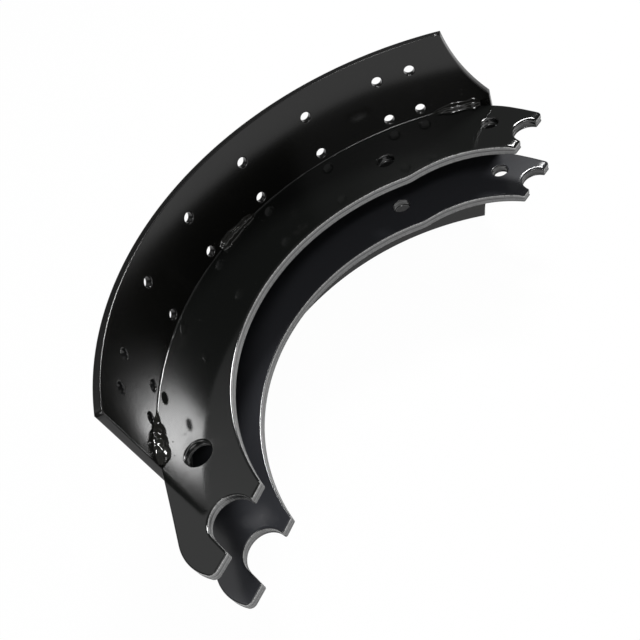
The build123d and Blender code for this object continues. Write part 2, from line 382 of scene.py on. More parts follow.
# outline of the rolled-out table: turn round the axis, run along the tangent there, height along the axis; a
# scoop is an arc whose centre is square to the middle of its chord, as far off as its radius allows
def tableOutline():
    half, start = table["halfWidth"], table["scoopStart"]
    depth, radius = table["scoopDepth"], table["scoopRadius"]
    chord = np.array([-depth, half - start])
    length = np.hypot(*chord)
    away = np.array([chord[1], -chord[0]]) / length
    centre = chord / 2 + np.array([0, start]) + away * math.sqrt(radius ** 2 - (length / 2) ** 2)
    first = math.degrees(math.atan2(start - centre[1], -centre[0])) % 360
    last = math.degrees(math.atan2(half - centre[1], -depth - centre[0])) % 360
    upper = walkOutline([(*centre, radius, first, last)], table["scoopStep"], table["turnStep"])[0]
    across = walkOutline([(0, -start, 0, start)], table["endStep"], table["turnStep"])[0]
    flip = np.array([1, -1])
    corner = np.array([[-depth, half]])
    camSide = np.concatenate([flip * corner, (upper * flip)[::-1], across[1:], upper, corner])
    camTurn = np.full(len(camSide), math.radians(table["camEnd"]))
    camAngle = camTurn[0] - math.asin(depth / table["innerRadius"])
    side, end = table["sideCount"], table["endCount"]
    sideTurn = np.linspace(camAngle, math.radians(table["anchorEnd"]), side + 1)[1:]
    endHeight = np.linspace(half, -half, end + 1)[1:]
    back = sideTurn[::-1][1:]
    turn = np.concatenate([camTurn, sideTurn, np.full(end, sideTurn[-1]), back])
    run = np.concatenate([camSide[:, 0], np.zeros(side + end + len(back))])
    height = np.concatenate([camSide[:, 1], np.full(side, half), endHeight, np.full(len(back), -half)])
    return turn, run, height


# place of a point on the rolled table: the run along the tangent is turned into an angle at that radius
def rollUp(turn, run, height, radius):
    angle = turn + np.arcsin(run / radius)
    x, y = polar(table["axis"], radius, angle)
    return np.stack([x, y, np.broadcast_to(height, x.shape)], -1), angle


# outward normals of a closed flat outline: halfway between those of the two edges that meet, and longer at a
# corner, so that a step along it moves both edges by the same amount
def mitredNormals(flat):
    ahead = np.roll(flat, -1, 0) - flat
    ahead /= np.linalg.norm(ahead, axis=1, keepdims=True)
    normal = np.stack([ahead[:, 1], -ahead[:, 0]], 1)
    both = normal + np.roll(normal, 1, 0)
    both /= np.linalg.norm(both, axis=1, keepdims=True)
    return both / np.clip((both * normal).sum(1, keepdims=True), 0.5, 1)


# section of the table's cut edges, inset against radius: a quarter circle at each face
def tableSection(rounding):
    angle = np.radians(np.linspace(0, 90, table["roundCount"] + 1))
    inset = rounding * (1 - np.sin(angle))
    inner = np.stack([inset, table["innerRadius"] + rounding * (1 - np.cos(angle))], 1)
    outer = np.stack([inset[::-1], table["innerRadius"] + table["outerRadius"] - inner[::-1, 1]], 1)
    return np.concatenate([inner, outer])


# normal across the edge and through the plate at each row of a section, from the steps before and after it
def sectionNormals(section):
    slope = np.gradient(section, axis=0)
    steps = np.diff(section, axis=0)
    steps /= np.linalg.norm(steps, axis=1, keepdims=True)
    slope[1:-1] = steps[:-1] + steps[1:]
    turned = np.stack([slope[:, 1], slope[:, 0]], 1)
    return turned / np.linalg.norm(turned, axis=1, keepdims=True)


# a cut edge of the rolled plate as a grid: the outline moved in by the section's inset, at its radius
def rolledEdge(turn, run, height, normals, section):
    rows = np.arange(len(section))
    inset, radius = section[:, 0, None], section[:, 1, None]
    points, angle = rollUp(turn[None], run - normals[:, 0] * inset, height - normals[:, 1] * inset, radius)
    turned = sectionNormals(section)
    across = turned[:, 0, None] * np.ones_like(angle)
    through = turned[:, 1, None] * np.ones_like(angle)
    across[0], across[-1], through[0], through[-1] = 0, 0, -1, 1
    unit = normals / np.linalg.norm(normals, axis=1, keepdims=True)
    tangent = across * unit[:, 0]
    x = tangent * np.cos(angle) + through * np.sin(angle)
    y = -tangent * np.sin(angle) + through * np.cos(angle)
    along = np.broadcast_to(walked(points[len(rows) // 2]), angle.shape)
    depth = np.broadcast_to(radius - table["innerRadius"], angle.shape)
    onCut = np.broadcast_to(ramp(np.minimum(rows, rows[::-1]), table["cutRows"])[:, None], angle.shape)
    return points, np.stack([x, y, across * unit[:, 1]], -1), np.stack([along, depth, onCut], 2)


# loose points that keep the table's faces round: a grid on the rolled-out plate, clear of its edges and holes
def looseOnTable(flat, holes):
    inner, rise = table["innerRadius"], table["looseRise"]
    count = int(table["halfWidth"] // rise)
    runs = np.arange(flat[:, 0].min(), flat[:, 0].max(), table["looseRun"])
    u, v = np.meshgrid(runs, rise * np.arange(-count, count + 1), indexing="ij")
    loose = np.stack([u.ravel(), v.ravel()], 1)
    centres = np.array([(angle * inner, line) for angle, line in holes])
    clear = np.linalg.norm(loose[:, None] - centres[None], axis=2).min(1) > table["looseFromHole"]
    clear &= np.linalg.norm(loose[:, None] - flat[None], axis=2).min(1) > table["looseFromEdge"]
    beforeEnd = loose[:, 0] < math.radians(table["camEnd"]) * inner - table["looseFromEnd"]
    return loose[clear & (beforeEnd | (np.abs(loose[:, 1]) < table["scoopStart"] - table["looseFromScoop"]))]


# the rolled plate: a grid along the cut edge of each loop, and both faces filled between the loops
def makeTable():
    inner, outer = table["innerRadius"], table["outerRadius"]
    turn, run, height = tableOutline()
    flat = np.stack([turn * inner + run, height], 1)
    loops = [(turn, run, height, mitredNormals(flat), tableSection(table["edgeRound"]))]
    holes = [(math.radians(angle), line) for angle in table["holeAngles"] for line in table["holeLines"]]
    ring, ringNormals = walkHole((0, 0), table["holeRadius"], table["holeCount"])
    section = tableSection(table["holeRound"])
    for angle, line in holes:
        loops.append((np.full(len(ring), angle), ring[:, 0], ring[:, 1] + line, ringNormals, section))
    points, normals, places, faces, starts = joinRings([rolledEdge(*loop) for loop in loops])
    loose = looseOnTable(flat, holes)
    count = starts[-1]
    for row, radius, way in ((0, inner, -1), (len(section) - 1, outer, 1)):
        rims = []
        for turns, runs, heights, outward, profile in loops:
            rims.append(np.stack([turns * inner + runs, heights], 1) - outward * profile[row, 0])
        faces.append(fillOutline(rims, loose, row, starts, count)[:, ::-way])
        count += len(loose)
        onFace = rollUp(loose[:, 0] / inner, np.zeros(len(loose)), loose[:, 1], radius)[0]
        away = (onFace - np.array([*table["axis"], 0])) * (1, 1, 0)
        points.append(onFace)
        normals.append(way * away / radius)
        places.append(np.zeros_like(away))
    points, normals, places = (np.concatenate(parts) for parts in (points, normals, places))
    return makeMesh("table_plate", points, faces, normals, coats["tableEnamel"], places)


# a piece of the visual model stands in for its solid, rides on the part's one body and is all black enamel
def standIn(shape, node):
    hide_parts(node)
    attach(shape, "root")


standIn(makeTable(), "table")
print("table rolled")


web = {
    "lower": 17.9,  # faces of the outboard web, from mid-width
    "upper": 24.3,
    "drop": 42.2,  # the inboard web is the same blank, this much lower
    # anchor end: a half-moon seat round the frame's origin, between a long outer and a short inner prong
    "anchorSeat": 12.7,
    "heel": 29.4,  # radius of the outer side
    "leadIn": 7.6,  # lean of the seat's straight outer side, in degrees
    "outerProngDrop": 10.9,
    "outerProngSlope": 8.0,
    "innerProngTurn": -13.0,
    "innerProngSlope": 11.0,
    # roller end: a half-round seat, open downwards, between two prongs cut off level with its centre
    "rollerCentre": (302.795, 2.009),
    "rollerSeat": 9.9,
    "outerWall": 8.4,
    "innerWall": 7.65,
    "shoulder": 75.0,
    # hollow side: one long arc, and a tighter one that narrows the web near the roller end
    "depth": 52.5,
    "hollowShift": (-7.9, 1.6),
    "neck": 74.4,
    "neckDrop": 15.1,
    # rounded corners of the outline
    "blendRound": 25.0,
    "heelRound": 4.0,
    "outerRound": 2.5,
    "prongRound": 1.2,
    "mouthRound": 1.0,
    # holes: centre, radius, and roll across and deep
    "holes": [
        ((18.027, 43.787), 8.0, 0.9, 0.55),
        ((302.095, 30.609), 5.6, 0.8, 0.45),
        ((248.176, 81.076), 6.2, 0.6, 0.4),
    ],
    "rollWide": 1.4,  # where the blanking tool drew the face down: across and deep
    "rollDeep": 0.75,
    "rollRows": 9,
    "rollPowers": (0.6, 0.5),  # its depth follows its width by these powers, at the prongs and at the table
    "bellWidth": 0.2,  # the way in is averaged over this much more than the roll's width
    "prongRoll": 0.75,  # how much wider the roll is at the roller end's prongs
    "prongFrom": 280.0,  # they start here, in full after prongReach, and end at prongTop
    "prongReach": 12.0,
    "prongTop": 15.0,
    "prongFade": 8.0,
    "tableRoll": 0.12,  # share of the roll that is left at the table, growing to all of it over tableFade
    "tableFade": 2.5,
    "burnish": 2.2,  # smooth part of the cut below the roll
    "tear": 0.35,  # how far the torn part falls back
    "waver": 0.30,  # how far the start of the tear wanders, and how often in all on its way round
    "waverCounts": (3, 11, 29, 67),
    "drip": 0.45,  # enamel gathered along the lower corner
    "dripBulge": 0.3,
    "seatMargin": 0.7,  # a seat's lower share reaches this far beyond it
    "seatCutFinish": 0.12,  # share of the cut's finish on the roller seat and in the holes, which leaves their walls darker
    "anchorCutFinish": 0.15,  # least share on the anchor seat, and from where and over how many degrees it grows
    "anchorCutFinishFrom": 10.0,
    "anchorCutFinishOver": 90.0,
    "droopStart": 7.6,  # the prongs at the roller end droop below this line
    "droopRadius": 15.0,
    "droopFrom": 274.0,
    "droopReach": 12.0,
    "looseAlong": (277.0, 320.0, 1.1),  # loose points that carry the droop: from, to and step
    "looseUp": (3.0, 8.0, 1.0),
    "looseFromEdge": 3.1,
    "looseFromNeck": 2.6,
    "seam": 0.9,  # enamel run into the corner with the table
    "seamBehind": 0.3,
    "seamWaver": 0.35,
    "seamWaves": (61.0, 23.0, 9.0),
    "seamSeed": 4,
    "seamEnds": (-57.0, 60.0),
    "seamCount": 240,
    "walkStep": 1.6,  # steps along the outline, and points round a hole
    "walkTurn": 6.0,
    "holeCount": 64,
}


# point on a circle at an angle in degrees, anticlockwise from +X
def onCircle(centre, radius, degrees):
    turn = math.radians(degrees)
    return np.array([centre[0] + radius * math.cos(turn), centre[1] + radius * math.sin(turn)])


# how far a point is to the left of a side of the outline, and the way in which that grows; a side is straight
# (x, y, degrees) or an arc (x, y, radius, way), with 1 for anticlockwise and -1 for clockwise
def leftOf(side, point):
    out = point - np.array(side[:2])
    if len(side) == 3:
        grows = onCircle((0, 0), 1, side[2] + 90)
        return out @ grows, grows
    radius, way = side[2:]
    far = np.hypot(*out)
    return way * (radius - far), -way * out / far


# the point that is a given distance to the left of two sides, by Newton's method from one near it: each step
# takes both sides as straight and solves for the point where both distances are right
def crossing(before, after, near, away=0.0):
    point = np.array(near, float)
    for step in range(newtonSteps):
        (one, oneGrows), (two, twoGrows) = leftOf(before, point), leftOf(after, point)
        point = point + np.linalg.solve([oneGrows, twoGrows], [away - one, away - two])
    return point


# an arc's row of the outline: its ends as angles, the second one on from the first in the arc's own way
def arcRow(x, y, radius, way, start, end):
    first, last = (math.degrees(math.atan2(point[1] - y, point[0] - x)) for point in (start, end))
    return x, y, radius, first, first + way * ((way * (last - first)) % 360)


# centre of the neck's arc, which starts at the tip of the roller end's inner prong
def neckCentre():
    x, y = web["rollerCentre"]
    tip = x - web["rollerSeat"] - web["innerWall"]
    return tip - math.sqrt(web["neck"] ** 2 - web["neckDrop"] ** 2), y - web["neckDrop"]


# outline of a web, anticlockwise from the tip of its outer prong: corners, each with its rounding and the
# side that starts there; the centre of a rounding is its radius to the left of both sides
def webOutline():
    axis, inner = np.array(table["axis"]), table["innerRadius"]
    seat, heel, prong = web["anchorSeat"], web["heel"], web["prongRound"]
    lean = math.sin(math.radians(web["leadIn"]))
    seatStart = onCircle((0, 0), seat, 180 - web["leadIn"])
    seatEnd = onCircle((0, 0), seat, web["innerProngTurn"])
    outerTip = seatStart - (seatStart[1] + web["outerProngDrop"]) * np.array([lean, 1])
    outerProng = (*outerTip, web["outerProngSlope"])
    innerProng = (*seatEnd, web["innerProngSlope"])
    hollow = (*(axis + web["hollowShift"]), inner - web["depth"], -1)
    neck = (*neckCentre(), web["neck"], -1)
    roller, mouth = np.array(web["rollerCentre"]), np.array([web["rollerSeat"], 0])
    level = (*roller, 0)
    wall = roller + mouth + np.array([web["outerWall"], 0])
    offset = wall[0] - web["shoulder"] - axis[0]
    shoulder = axis + np.array([offset, math.sqrt((inner - web["shoulder"]) ** 2 - offset ** 2)])
    shoulderTurn = math.degrees(math.atan2(*(shoulder - axis)[::-1]))
    # a straight touches the table's arc and the heel's, so both radii to it point the same way
    heelTurn = math.degrees(math.atan2(-axis[1], -axis[0]) - math.acos((inner - heel) / np.hypot(*axis)))
    heelTop = onCircle((0, 0), heel, heelTurn)
    corners = [
        (outerTip, prong, (*outerTip, math.degrees(math.atan2(1, lean)))),
        (seatStart, 0, (0, 0, seat, -1)),
        (seatEnd, prong, innerProng),
        (crossing(innerProng, hollow, seatEnd), prong, hollow),
        (crossing(hollow, neck, neckCentre() + np.array([0, web["neck"]])), web["blendRound"], neck),
        (roller - mouth - np.array([web["innerWall"], 0]), prong, level),
        (roller - mouth, web["mouthRound"], (*roller, web["rollerSeat"], -1)),
        (roller + mouth, web["mouthRound"], level),
        (wall, web["outerRound"], (*wall, 90)),
        (shoulder + np.array([web["shoulder"], 0]), 0, (*shoulder, web["shoulder"], 1)),
        (onCircle(axis, inner, shoulderTurn), 0, (*axis, inner, 1)),
        (onCircle(axis, inner, heelTurn), 0, (*heelTop, heelTurn + 90)),
        (heelTop, 0, (0, 0, heel, 1)),
        (crossing((0, 0, heel, 1), outerProng, outerTip), web["heelRound"], outerProng),
    ]
    arcs = []
    for k, (corner, rounding, after) in enumerate(corners):
        before = corners[k - 1][2]
        centre = crossing(before, after, corner, rounding) if rounding else corner
        touches = [centre - rounding * leftOf(side, centre)[1] for side in (before, after)]
        arcs.append((*centre, rounding, 1, *touches))
    rows = []
    for k, (corner, rounding, after) in enumerate(corners):
        if rounding:
            rows.append(arcRow(*arcs[k]))
        start, end = arcs[k][-1], arcs[(k + 1) % len(arcs)][-2]
        rows.append(arcRow(*after, start, end) if len(after) == 4 else (*start, *end))
    return [tuple(round(float(value), 3) for value in row) for row in rows]


# section of a blanked edge from the face down: a quarter-ellipse roll, a smooth wall, a torn wall that falls
# back and a round drip; columns: share of the roll's width, height, waver, share of cut edge, fall back
def blankedSection(wide, deep):
    top, bottom, drip, tear = web["upper"], web["lower"], web["drip"], web["tear"]
    angle = np.radians(np.linspace(0, 90, web["rollRows"]))
    none = np.zeros(len(angle))
    onCut = np.clip(angle / angle[-1] * 3 - 2, 0, 1)
    rolled = np.stack([1 - np.sin(angle), top - deep * (1 - np.cos(angle)), none, onCut, none], 1)
    tearTop = top - deep - web["burnish"]
    # start of the tear, two steps down its lip, half way to the bottom, and above the drip
    tornHeight = [tearTop, tearTop - 0.12, tearTop - 0.4, (tearTop + bottom) / 2, bottom + 2 * drip]
    fallBack = tear * np.array([0, 0.4, 0.6, 0.85, 1.0])
    torn = np.stack([np.zeros(5), tornHeight, [1, 1, 1, 0.5, 0], np.ones(5), fallBack], 1)
    under = np.radians([35.0, 65.0, 90.0, 125.0, 155.0, 180.0])
    footHeight = bottom + drip * (1 + np.cos(under))
    footBack = tear - web["dripBulge"] * np.sin(under)
    foot = np.stack([np.zeros(6), footHeight, np.zeros(6), [1, 0.9, 0.7, 0.4, 0.1, 0], footBack], 1)
    return np.concatenate([rolled, torn, foot]), wide, tearTop


# share of the cut's finish, its pale colour, roughness and lines: little on the roller seat, so its wall comes
# out darker, and on the anchor seat more towards the heel
def cutFinishShare(points):
    margin = web["seatMargin"]
    turn = np.degrees(np.arctan2(points[:, 1], points[:, 0]))
    onAnchor = np.hypot(points[:, 0], points[:, 1]) < web["anchorSeat"] + margin
    grown = (turn - web["anchorCutFinishFrom"]) / web["anchorCutFinishOver"]
    anchorShare = np.clip(grown, web["anchorCutFinish"], 1.0)
    onRoller = np.linalg.norm(points - web["rollerCentre"], axis=1) < web["rollerSeat"] + margin
    return np.where(onRoller, web["seatCutFinish"], np.where(onAnchor, anchorShare, 1.0))


# how far the prong faces have bent down: a parabola from the start line, on the roller end only
def droop(x, y):
    window = ramp(x - web["droopFrom"], web["droopReach"])
    return window * np.maximum(web["droopStart"] - y, 0) ** 2 / (2 * web["droopRadius"])


# a cut edge as a grid: each row is the outline moved in by the section's inset, at the section's height; the
# way in is the mean of the normals near by, weighed by a bell curve of their distance, so that rows never
# cross; the roll is wider at the prongs and dies out at the table; the last argument is the share of the cut's
# finish
def plateEdge(points, normals, cut, seed, cutFinish):
    section, wide, tearTop = cut
    along = walked(points)
    length = along[-1] + np.linalg.norm(points[0] - points[-1])
    apart = np.abs(along[:, None] - along[None])
    apart = np.minimum(apart, length - apart)
    fromTable = np.abs(np.linalg.norm(points - table["axis"], axis=1) - table["innerRadius"])
    onProng = ramp(points[:, 0] - web["prongFrom"], web["prongReach"])
    onProng = onProng * ramp(web["prongTop"] - points[:, 1], web["prongFade"])
    swell = 1 + web["prongRoll"] * onProng
    fade = np.clip(web["tableRoll"] + fromTable / web["tableFade"], 0, 1)
    roll = wide * swell * fade
    weights = np.exp(-(apart / (roll[:, None] + web["bellWidth"])) ** 2) * np.gradient(along)[None]
    inwards = -(weights @ normals) / weights.sum(1, keepdims=True)
    inset = section[:, 0, None] * roll
    waver = web["waver"] * wander(along, seed, [length / count for count in web["waverCounts"]])
    height = section[:, 1, None] + section[:, 2, None] * waver
    rolled, powers = web["upper"] - height[:web["rollRows"]], web["rollPowers"]
    height[:web["rollRows"]] = web["upper"] - rolled * swell ** powers[0] * fade ** powers[1]
    flat = points[None] + inwards[None] * inset[..., None] - normals[None] * section[:, 4, None, None]
    share = ramp(height - web["lower"], web["upper"] - web["lower"])
    height = height - droop(flat[..., 0], flat[..., 1]) * share
    grid = np.concatenate([flat, height[..., None]], 2)
    slopes = gridNormals(grid)
    slopes[-1] = (0, 0, -1)
    parts = (along, tearTop - section[:, 1, None], section[:, 3, None] * cutFinish)
    return grid, slopes, np.stack([np.broadcast_to(part, height.shape) for part in parts], 2)


# normal of the upper face where the prongs droop: the slope between the droops just before and after
def droopNormals(flat):
    x, y, step = flat[:, 0], flat[:, 1], 0.05
    slopeX = (droop(x + step, y) - droop(x - step, y)) / (2 * step)
    slopeY = (droop(x, y + step) - droop(x, y - step)) / (2 * step)
    return np.stack([slopeX, slopeY, np.ones(len(flat))], 1)


# enamel run into the corner of web and table: a hollow quarter circle swept along the corner, closed behind
def cornerSeam(face, up):
    angle = np.radians(np.linspace(0, 90, 7))
    across = np.concatenate([web["seam"] * (1 - np.sin(angle)), [-web["seamBehind"]]])
    rise = np.concatenate([web["seam"] * (1 - np.cos(angle)), [-web["seamBehind"]]])
    turn = np.radians(np.linspace(*web["seamEnds"], web["seamCount"]))[:, None]
    waves = wander(np.arange(float(len(turn))), web["seamSeed"], web["seamWaves"])
    size = 1 + web["seamWaver"] * waves[:, None]
    x, y = polar(table["axis"], table["innerRadius"] - across * size, turn)
    return np.stack([x, y, face + up * rise * size], 2)


# loose points that carry the droop of the prongs: a grid on the upper face, clear of the outline
def looseOnProngs(outline):
    x, y = np.meshgrid(np.arange(*web["looseAlong"]), np.arange(*web["looseUp"]), indexing="ij")
    loose = np.stack([x.ravel(), y.ravel()], 1)
    clear = np.linalg.norm(loose[:, None] - outline[None], axis=2).min(1) > web["looseFromEdge"]
    clear &= np.linalg.norm(loose - web["rollerCentre"], axis=1) > web["rollerSeat"]
    clear &= np.linalg.norm(loose - neckCentre(), axis=1) > web["neck"] + web["looseFromNeck"]
    return loose[clear]


# a web: a grid along the cut edge of the outline and of each hole, both faces filled between them, and the
# two seams in the corner with the table
def makeWeb(name, lift, material):
    outline = walkOutline(webOutline(), web["walkStep"], web["walkTurn"])
    loops, cuts = [outline], [blankedSection(web["rollWide"], web["rollDeep"])]
    for centre, radius, wide, deep in web["holes"]:
        loops.append(walkHole(centre, radius, web["holeCount"]))
        cuts.append(blankedSection(wide, deep))
    cutFinish = [cutFinishShare(outline[0])] + [web["seatCutFinish"]] * len(web["holes"])
    edges = [plateEdge(*loops[k], cuts[k], k, cutFinish[k]) for k in range(len(loops))]
    points, normals, places, faces, starts = joinRings(edges)
    loose = looseOnProngs(outline[0])
    for k, edge in enumerate(edges):
        normals[k][:edge[0].shape[1]] = droopNormals(edge[0][0, :, :2])
    points.append(np.column_stack([loose, web["upper"] - droop(loose[:, 0], loose[:, 1])]))
    normals.append(droopNormals(loose))
    places.append(np.zeros((len(loose), 3)))
    for row, extra, way in ((0, loose, 1), (len(cuts[0][0]) - 1, loose[:0], -1)):
        rims = [edge[0][row, :, :2] for edge in edges]
        faces.append(fillOutline(rims, extra, row, starts, starts[-1])[:, ::way])
    count = starts[-1] + len(loose)
    for face, up in ((web["upper"], 1), (web["lower"], -1)):
        grid = cornerSeam(face, up)
        steps, columns = grid.shape[:2]
        points.append(grid.reshape(-1, 3))
        normals.append(fillerNormals(grid).reshape(-1, 3) * up)
        places.append(np.zeros((steps * columns, 3)))
        caps = np.array([np.arange(columns), np.arange(columns)[::-1] + columns * (steps - 1)])
        faces += [ringFaces(steps, columns, flip=up > 0) + count, caps[:, ::up] + count]
        count += steps * columns
    points, normals, places = (np.concatenate(parts) for parts in (points, normals, places))
    return makeMesh(name, points + [0, 0, lift], faces, normals, material, places)


standIn(makeWeb("outboard_web_plate", 0.0, coats["webEnamel"]), "outboard_web")
standIn(makeWeb("inboard_web_plate", -web["drop"], coats["innerWebEnamel"]), "inboard_web")
print("webs blanked")


welds = {
    "rows": 130,  # grid of a bead, along and across
    "columns": 26,
    "pitch": 3.3,  # from one puddle of the bead to the next
    "ripple": 0.012,  # how far the puddles stand out
    "bow": 1.7,  # how far a puddle's front runs ahead in the middle
    "spread": 1.4,  # power by which the face leaves each plate
    "hump": 0.26,  # how far its middle bulges
    "sink": 0.25,  # how far its edges sink into the plates
    "behind": 0.4,  # and how far behind the corner it is closed
    "smooth": 5,  # rows either way over which the outline is evened out
    "lumpWaves": (13.0, 7.1),  # wavelengths of the lumps, and how far they lean across the bead
    "lumpLean": 5,
    "smallWaves": (5.2,),  # smaller lumps, leaning the other way
    "smallLean": -9,
    "smallShare": 0.5,
    "webWaves": (9.0, 5.2),  # wavelengths by which the two legs waver
    "tableWaves": (11.0, 4.6),
    "dropGrid": (13, 22),  # rings and columns of a drop
    "ballGrid": (5, 9),  # and of a ball of spatter
    "balls": 5,  # balls of spatter beside each bead
    "ballRadius": (0.22, 0.55),
    "ballAway": (2.0, 1.8),  # shape and scale of the gamma law of their distance from the bead
    "ballOnWeb": 0.5,  # share of them on the web
    "ballSeed": 20,
    "ballBeyond": 0.02,  # how far they go beyond the bead's ends, as a turn in radians
    "ballEnds": (-56.2, 60.3),
    # each bead: ends in degrees, legs, lumps, and outline as (share of its length, size); each drop: turn in
    # degrees, place in from the table and up from the web, tilt, and radii along, across and out
    "beads": {
        "cam_weld": {
            "angles": (50.2, 60.6), "webLeg": 4.8, "tableLeg": 5.4, "lump": 0.04, "waver": 0.02, "seed": 3,
            "outline": ((0, 0.15), (0.15, 0.6), (0.4, 0.95), (0.7, 0.8), (0.86, 1.05), (0.95, 0.8), (1, 0.3)),
            "drops": (
                (52.2, 2.6, 0.9, 30, 1.8, 1.2, 0.8), (54.0, 2.6, 1.2, 35, 2.4, 1.0, 0.8),
                (59.2, 2.4, 1.8, 35, 1.9, 1.6, 1.2),
            ),
        },
        "crown_weld": {
            "angles": (-5.8, 5.0), "webLeg": 4.4, "tableLeg": 6.2, "lump": 0.05, "waver": 0.025, "seed": 8,
            "outline": (
                (0, 0.5), (0.07, 0.95), (0.35, 1.05), (0.55, 0.8),
                (0.63, 0.72), (0.76, 0.85), (0.9, 0.6), (1, 0.15),
            ),
            "drops": (
                (-5.2, 1.6, 3.2, 50, 1.5, 1.3, 0.9), (-4.2, 4.0, 0.4, 20, 2.0, 1.3, 0.8),
                (1.2, 3.0, 1.0, 30, 1.6, 1.1, 0.8),
            ),
        },
        "anchor_weld": {
            "angles": (-57.0, -45.6), "webLeg": 6.2, "tableLeg": 5.8, "lump": 0.14, "waver": 0.07, "seed": 5,
            "outline": ((0, 0.4), (0.12, 0.8), (0.38, 1.1), (0.58, 0.85), (0.8, 0.45), (1, 0.12)),
            "drops": (
                (-54.9, 4.6, 1.0, 33, 4.8, 3.0, 1.25), (-52.6, 3.9, 2.2, 35, 2.6, 1.7, 1.0),
                (-56.3, 3.2, 0.6, 20, 1.6, 1.4, 0.9), (-51.0, 1.0, 4.5, 60, 1.5, 1.5, 0.9),
            ),
        },
    },
}


# place on the part of a point near the weld corner: turn round the table, reach in from it, rise off the web
def fromCorner(turn, inward, upward):
    x, y = polar(table["axis"], table["innerRadius"] - inward, turn)
    return np.stack(np.broadcast_arrays(x, y, web["upper"] + upward), -1)


# bead: across, with q from 0 on the web to 1 on the table, its reach in is (1 - q) and its rise is q, to the
# power of the spread, and both bulge by a sine squared; along, its size follows the bead's outline, with soft
# lumps and faint puddle fronts; a last column closes it in the corner
def beadGrid(bead):
    first, last = np.radians(bead["angles"])
    share = np.linspace(0, 1, welds["rows"])[:, None]
    distance = share * (last - first) * table["innerRadius"]
    q = np.linspace(0, 1, welds["columns"])[None]
    size = np.interp(share, *np.array(bead["outline"]).T)
    reach = welds["smooth"]
    padded = np.pad(size, ((reach, reach), (0, 0)), "edge")
    size = sum(np.roll(padded, k, 0)[reach:-reach] for k in range(-reach, reach + 1)) / (2 * reach + 1)
    ahead = (distance + welds["bow"] * np.sin(q * math.pi)) / welds["pitch"]
    ripple = 1 + welds["ripple"] * np.abs(np.sin(math.pi * ahead))
    seed = bead["seed"]
    lump = wander(distance + welds["lumpLean"] * q, seed, welds["lumpWaves"])
    smallLump = wander(distance + welds["smallLean"] * q, seed + 1, welds["smallWaves"])
    lumps = 1 + bead["lump"] * (lump + welds["smallShare"] * smallLump)
    hump = welds["hump"] * np.sin(q * math.pi) ** 2 * lumps * ripple
    webLeg = bead["webLeg"] * size * (1 + bead["waver"] * wander(distance, seed + 2, welds["webWaves"]))
    tableLeg = bead["tableLeg"] * size * (1 + bead["waver"] * wander(distance, seed + 3, welds["tableWaves"]))
    inward = webLeg * ((1 - q) ** welds["spread"] + hump)
    upward = tableLeg * (q ** welds["spread"] + hump)
    inward[:, -1] -= welds["sink"]
    upward[:, 0] -= welds["sink"]
    corner = np.full(welds["rows"], -welds["behind"])
    turn = first + distance / table["innerRadius"]
    return fromCorner(turn, np.column_stack([inward, corner]), np.column_stack([upward, corner]))


# balls: unit spheres of rings between two poles, stretched by radii across, along and out of a surface turned
# by tilt from the web's face (0) to the table's (a quarter turn); points, normals and arrays of faces
def makeBalls(turn, inward, upward, tilt, radii, rings, columns):
    rises = np.linspace(1, -1, rings + 2)[1:-1] * math.pi / 2
    up, around = np.meshgrid(rises, np.linspace(0, 2 * math.pi, columns, endpoint=False), indexing="ij")
    unit = np.stack([np.cos(up) * np.cos(around), np.cos(up) * np.sin(around), np.sin(up)], -1).reshape(-1, 3)
    unit = np.concatenate([unit, [[0, 0, 1], [0, 0, -1]]])
    start = np.arange(columns)
    top = np.stack([start, np.roll(start, -1), np.full(columns, rings * columns)], 1)
    lowest = (rings - 1) * columns
    bottom = np.stack([np.roll(start, -1), start, np.full(columns, columns + 1)], 1) + lowest
    shift = (np.arange(len(turn)) * len(unit))[:, None, None]
    ball = (ringFaces(rings, columns, flip=True), top, bottom)
    faces = [(part[None] + shift).reshape(-1, part.shape[1]) for part in ball]
    none = np.zeros_like(turn)
    inwards = np.stack([-np.sin(turn), -np.cos(turn), none], 1)
    aside = np.stack([np.cos(turn), -np.sin(turn), none], 1)
    lift = np.array([0, 0, 1.0])
    out = np.cos(tilt)[:, None] * lift + np.sin(tilt)[:, None] * inwards
    across = np.cos(tilt)[:, None] * inwards - np.sin(tilt)[:, None] * lift
    axes = np.stack([across, aside, out], 1)
    points = fromCorner(turn, inward, upward)[:, None] + unit @ (axes * radii[..., None])
    normals = (unit[None] / radii[:, None]) @ axes
    return points.reshape(-1, 3), normals.reshape(-1, 3), faces


# spatter: small balls thrown on to the web or the table beside the bead, most of them near it
def spatterBalls(bead):
    random = np.random.default_rng(bead["seed"] + welds["ballSeed"])
    count, beyond = welds["balls"], welds["ballBeyond"]
    first, last = np.radians(bead["angles"])
    turn = np.clip(random.uniform(first - beyond, last + beyond, count), *np.radians(welds["ballEnds"]))
    away = random.gamma(*welds["ballAway"], count)
    onWeb = random.random(count) < welds["ballOnWeb"]
    inward = np.where(onWeb, bead["webLeg"] + away, 0.0)
    upward = np.where(onWeb, 0.0, bead["tableLeg"] + away)
    radii = np.repeat(random.uniform(*welds["ballRadius"], count)[:, None], 3, 1)
    return makeBalls(turn, inward, upward, np.zeros(count), radii, *welds["ballGrid"])


